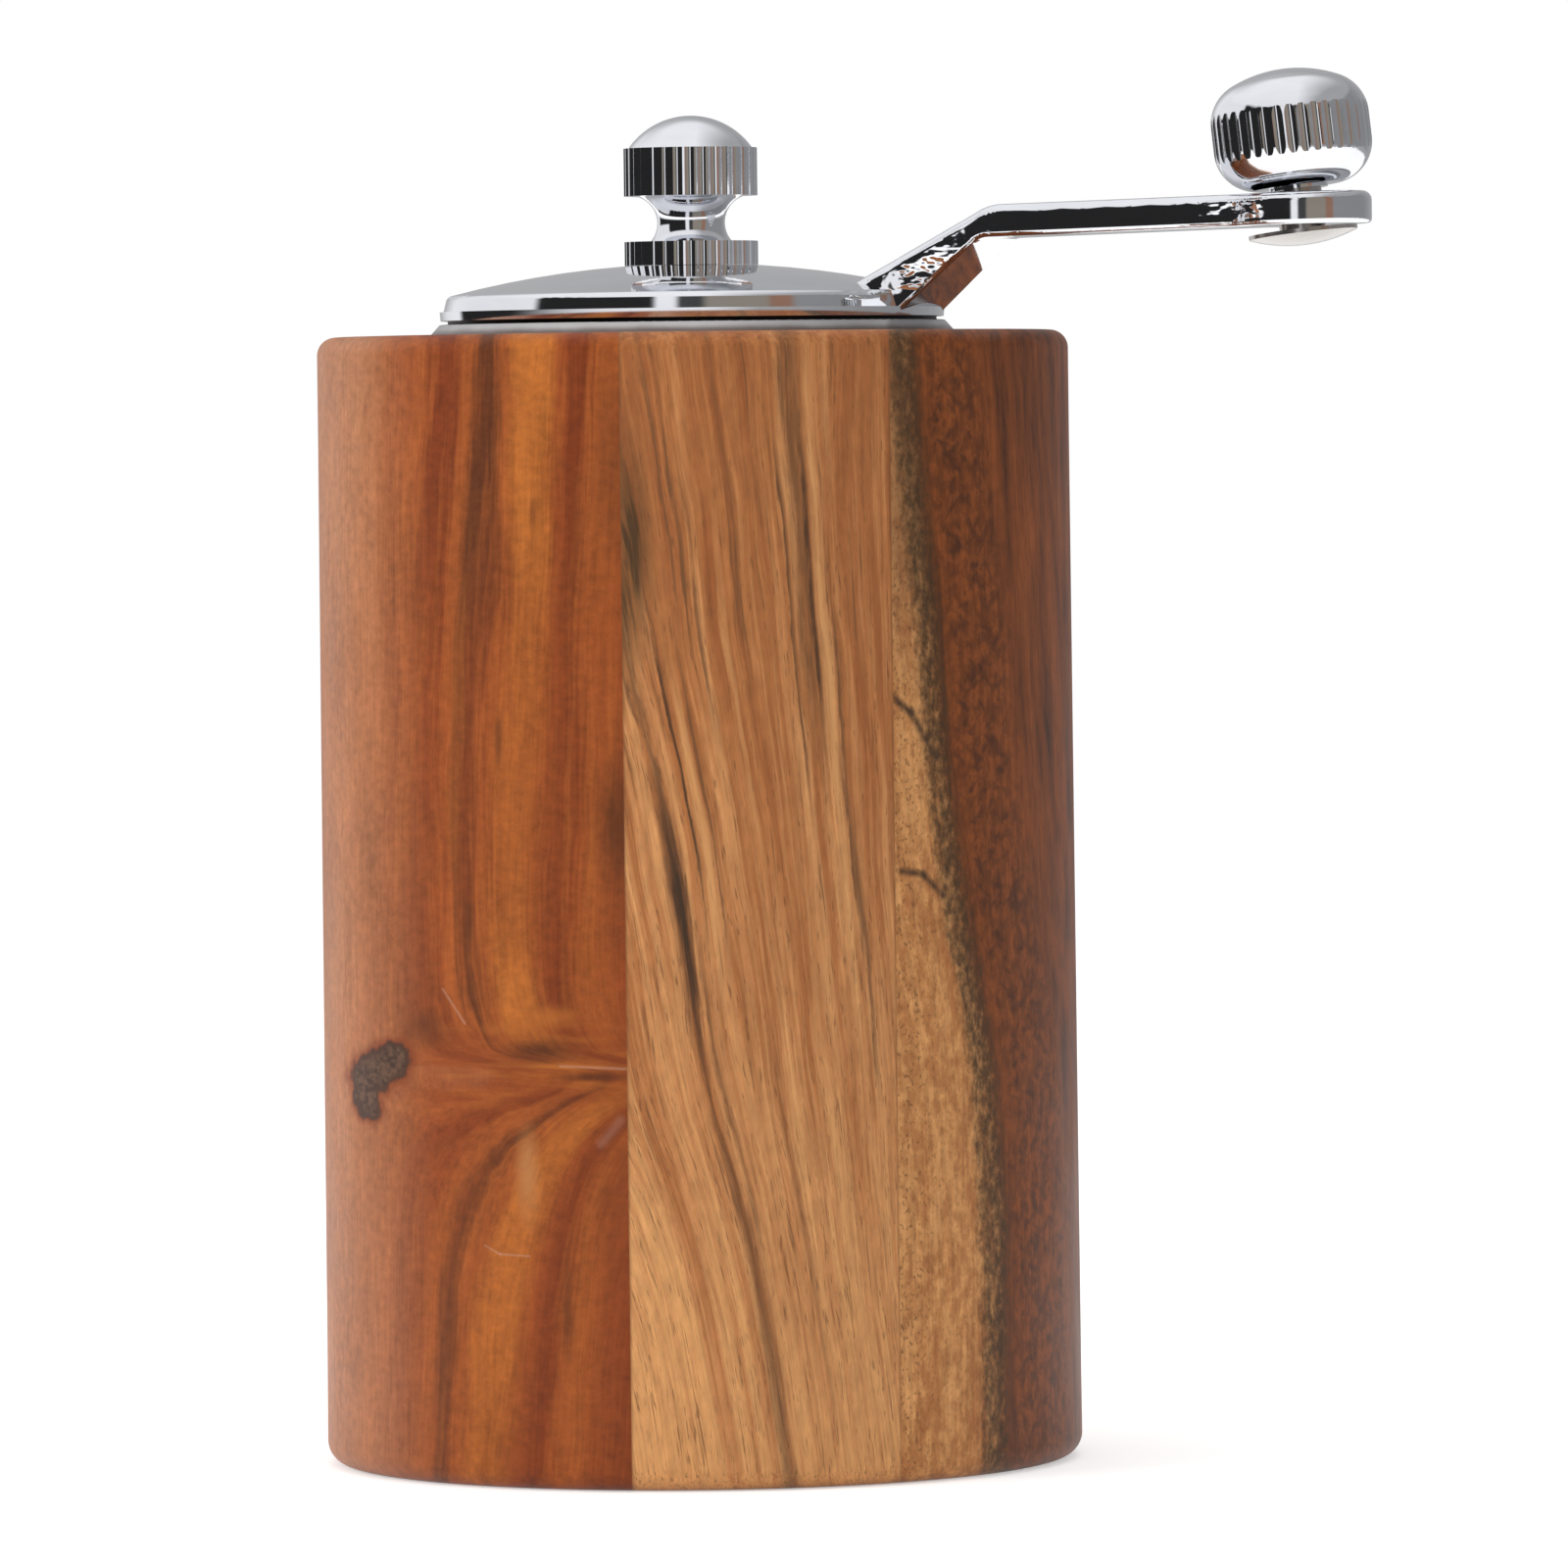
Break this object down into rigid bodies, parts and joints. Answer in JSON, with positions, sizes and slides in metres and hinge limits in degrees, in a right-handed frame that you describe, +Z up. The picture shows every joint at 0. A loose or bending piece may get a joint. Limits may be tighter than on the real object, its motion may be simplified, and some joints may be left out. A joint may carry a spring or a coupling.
{
  "type": "burr coffee grinder",
  "caption": "Hand-cranked coffee mill: round wooden body, chrome crank lid with a fluted knob and an adjusting nut on top, conical ceramic burrs below that drop the grounds through the base.",
  "frame": {"origin": "on the mill's axis, in the plane that the wooden body stands on", "axes": "+Z up along the mill's axis, +X along the crank arm"},
  "size_m": [0.0956, 0.0664, 0.1211],
  "materials": {
    "wood_left": "satin varnish",
    "wood_middle": "satin varnish",
    "wood_right": "satin varnish",
    "collar_metal": "turned and matte",
    "chrome": "polished",
    "pin_metal": "dull nickel",
    "shaft_steel": "drawn bar",
    "bush_brass": "turned",
    "washer_nylon": "moulded",
    "spring_steel": "drawn wire",
    "burr_ceramic": "sintered",
    "carrier_plastic": "moulded",
    "ring_steel": "stamped",
    "screw_steel": "zinc plated"
  },
  "bodies": {
    "body": {"board_left": "wood_left", "board_front": "wood_middle", "board_back": "wood_middle", "board_right": "wood_right", "top_collar": "collar_metal", "burr_carrier": "carrier_plastic", "outer_burr": "burr_ceramic", "retaining_ring": "ring_steel", "ring_screws": "screw_steel"},
    "drive": {"drive_bush": "bush_brass", "thrust_washer": "washer_nylon", "burr_spring": "spring_steel"},
    "spindle": {"drive_shaft": "shaft_steel", "inner_burr": "burr_ceramic", "burr_washer": "screw_steel", "burr_screw": "screw_steel", "spring_seat": "washer_nylon"},
    "crank": {"lid_and_arm": "chrome"},
    "nut": {"adjusting_nut": "chrome"},
    "handle": {"handle_knob": "chrome", "handle_pin": "pin_metal"}
  },
  "joints": [
    {"name": "crank_spin", "type": "hinge", "parent": "body", "child": "drive", "pos_m": [0, 0, 0.035], "axis": [0, 0, 1], "continuous": true},
    {"name": "grind_adjust", "type": "slide", "parent": "drive", "child": "spindle", "axis": [0, 0, 1], "range_m": [-0.0014, 0], "deforming": ["burr_spring"]},
    {"name": "lid_lift", "type": "slide", "parent": "drive", "child": "crank", "axis": [0, 0, 1], "range_m": [0, 0.04]},
    {"name": "nut_turn", "type": "hinge", "parent": "crank", "child": "nut", "pos_m": [0, 0, 0.11], "axis": [0, 0, 1], "range_deg": [0, 720]},
    {"name": "handle_spin", "type": "hinge", "parent": "crank", "child": "handle", "pos_m": [0.05625, 0, 0.109], "axis": [-0.1132, 0, 0.9936], "continuous": true}
  ],
  "couplings": [
    {"joint": "nut_turn", "follows": "grind_adjust", "rad_per_m": -8975.9}
  ]
}
